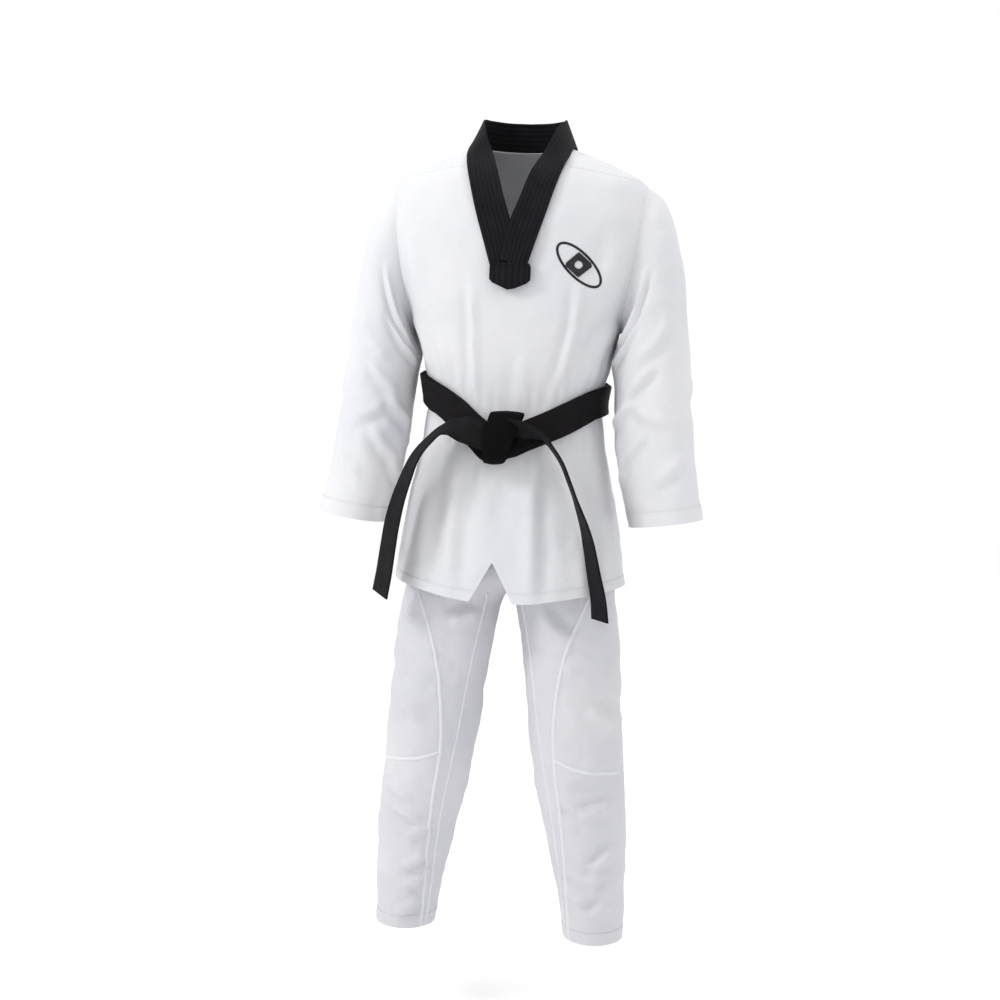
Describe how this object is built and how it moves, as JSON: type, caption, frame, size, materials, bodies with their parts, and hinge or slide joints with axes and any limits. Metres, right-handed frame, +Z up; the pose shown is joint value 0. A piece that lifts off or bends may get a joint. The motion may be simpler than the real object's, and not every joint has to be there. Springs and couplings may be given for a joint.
{
  "type": "martial arts uniform",
  "caption": "White V-neck jacket with a black collar, tied black belt and white trousers, open inside, in the shape they take when worn.",
  "frame": {"origin": "middle of the neck base, at the height where the collar meets the shoulders", "axes": "+Z up; the chest faces -Y; the wearer's left is +X"},
  "size_m": [0.657, 0.3127, 1.4195],
  "materials": {
    "white_cloth": "woven cotton blend, matt",
    "trouser_cloth": "woven cotton blend, matt",
    "black_cloth": "black cotton with rows of stitching",
    "belt_webbing": "stiff black cotton with rows of stitching",
    "emblem_thread": "embroidered thread",
    "elastic": "knitted elastic"
  },
  "bodies": {
    "jacket": {"jacket_front": "white_cloth", "jacket_back": "white_cloth", "front_hem_band_left": "white_cloth", "front_hem_band_right": "white_cloth", "back_hem_band": "white_cloth", "collar_band_left": "black_cloth", "collar_band_right": "black_cloth", "collar_tab": "black_cloth", "chest_emblem": "emblem_thread", "belt_turn_inner": "belt_webbing", "belt_turn_outer": "belt_webbing", "belt_knot_loop": "belt_webbing", "belt_knot_bar": "belt_webbing"},
    "upper_sleeve_left": {"sleeve_upper_left": "white_cloth"},
    "forearm_sleeve_left": {"sleeve_lower_left": "white_cloth", "sleeve_hem_left": "white_cloth"},
    "belt_end_left": {"belt_tail_left": "belt_webbing"},
    "upper_sleeve_right": {"sleeve_upper_right": "white_cloth"},
    "forearm_sleeve_right": {"sleeve_lower_right": "white_cloth", "sleeve_hem_right": "white_cloth"},
    "belt_end_right": {"belt_tail_right": "belt_webbing"},
    "trousers": {"trouser_waistband": "trouser_cloth", "waist_elastic": "elastic", "crotch_gusset": "trouser_cloth", "trouser_hip_front_left": "trouser_cloth", "trouser_hip_back_left": "trouser_cloth", "trouser_hip_front_right": "trouser_cloth", "trouser_hip_back_right": "trouser_cloth"},
    "thigh_left": {"trouser_thigh_front_left": "trouser_cloth", "trouser_thigh_inner_left": "trouser_cloth", "trouser_thigh_back_left": "trouser_cloth"},
    "shin_left": {"trouser_shin_front_left": "trouser_cloth", "trouser_shin_inner_left": "trouser_cloth", "trouser_shin_back_left": "trouser_cloth", "trouser_hem_left": "trouser_cloth"},
    "thigh_right": {"trouser_thigh_front_right": "trouser_cloth", "trouser_thigh_inner_right": "trouser_cloth", "trouser_thigh_back_right": "trouser_cloth"},
    "shin_right": {"trouser_shin_front_right": "trouser_cloth", "trouser_shin_inner_right": "trouser_cloth", "trouser_shin_back_right": "trouser_cloth", "trouser_hem_right": "trouser_cloth"}
  },
  "joints": [
    {"name": "shoulder_left", "type": "hinge", "parent": "jacket", "child": "upper_sleeve_left", "pos_m": [0.2135, 0, -0.0405], "axis": [0, -1, 0], "range_deg": [0, 60]},
    {"name": "elbow_left", "type": "hinge", "parent": "upper_sleeve_left", "child": "forearm_sleeve_left", "pos_m": [0.232, -0.0965, -0.3595], "axis": [-0.9729, 0, -0.2313], "range_deg": [0, 75]},
    {"name": "shoulder_right", "type": "hinge", "parent": "jacket", "child": "upper_sleeve_right", "pos_m": [-0.2135, 0, -0.0405], "axis": [0, 1, 0], "range_deg": [0, 60]},
    {"name": "elbow_right", "type": "hinge", "parent": "upper_sleeve_right", "child": "forearm_sleeve_right", "pos_m": [-0.232, -0.0965, -0.3595], "axis": [-0.9729, 0, 0.2313], "range_deg": [0, 75]},
    {"name": "belt_end_swing_left", "type": "hinge", "parent": "jacket", "child": "belt_end_left", "pos_m": [0.078, -0.152, -0.472], "axis": [-1, 0, 0], "range_deg": [0, 70]},
    {"name": "belt_end_swing_right", "type": "hinge", "parent": "jacket", "child": "belt_end_right", "pos_m": [-0.064, -0.147, -0.457], "axis": [-1, 0, 0], "range_deg": [0, 70]},
    {"name": "trousers_pull_down", "type": "slide", "parent": "jacket", "child": "trousers", "axis": [0, 0, -1], "range_m": [0, 0.15]},
    {"name": "hip_left", "type": "hinge", "parent": "trousers", "child": "thigh_left", "pos_m": [0.106, -0.0965, -0.8], "axis": [-1, 0, 0], "range_deg": [0, 60]},
    {"name": "knee_left", "type": "hinge", "parent": "thigh_left", "child": "shin_left", "pos_m": [0.131, 0.0805, -1.028], "axis": [1, 0, 0], "range_deg": [0, 90]},
    {"name": "hip_right", "type": "hinge", "parent": "trousers", "child": "thigh_right", "pos_m": [-0.106, -0.0965, -0.8], "axis": [-1, 0, 0], "range_deg": [0, 60]},
    {"name": "knee_right", "type": "hinge", "parent": "thigh_right", "child": "shin_right", "pos_m": [-0.131, 0.0805, -1.028], "axis": [1, 0, 0], "range_deg": [0, 90]}
  ]
}
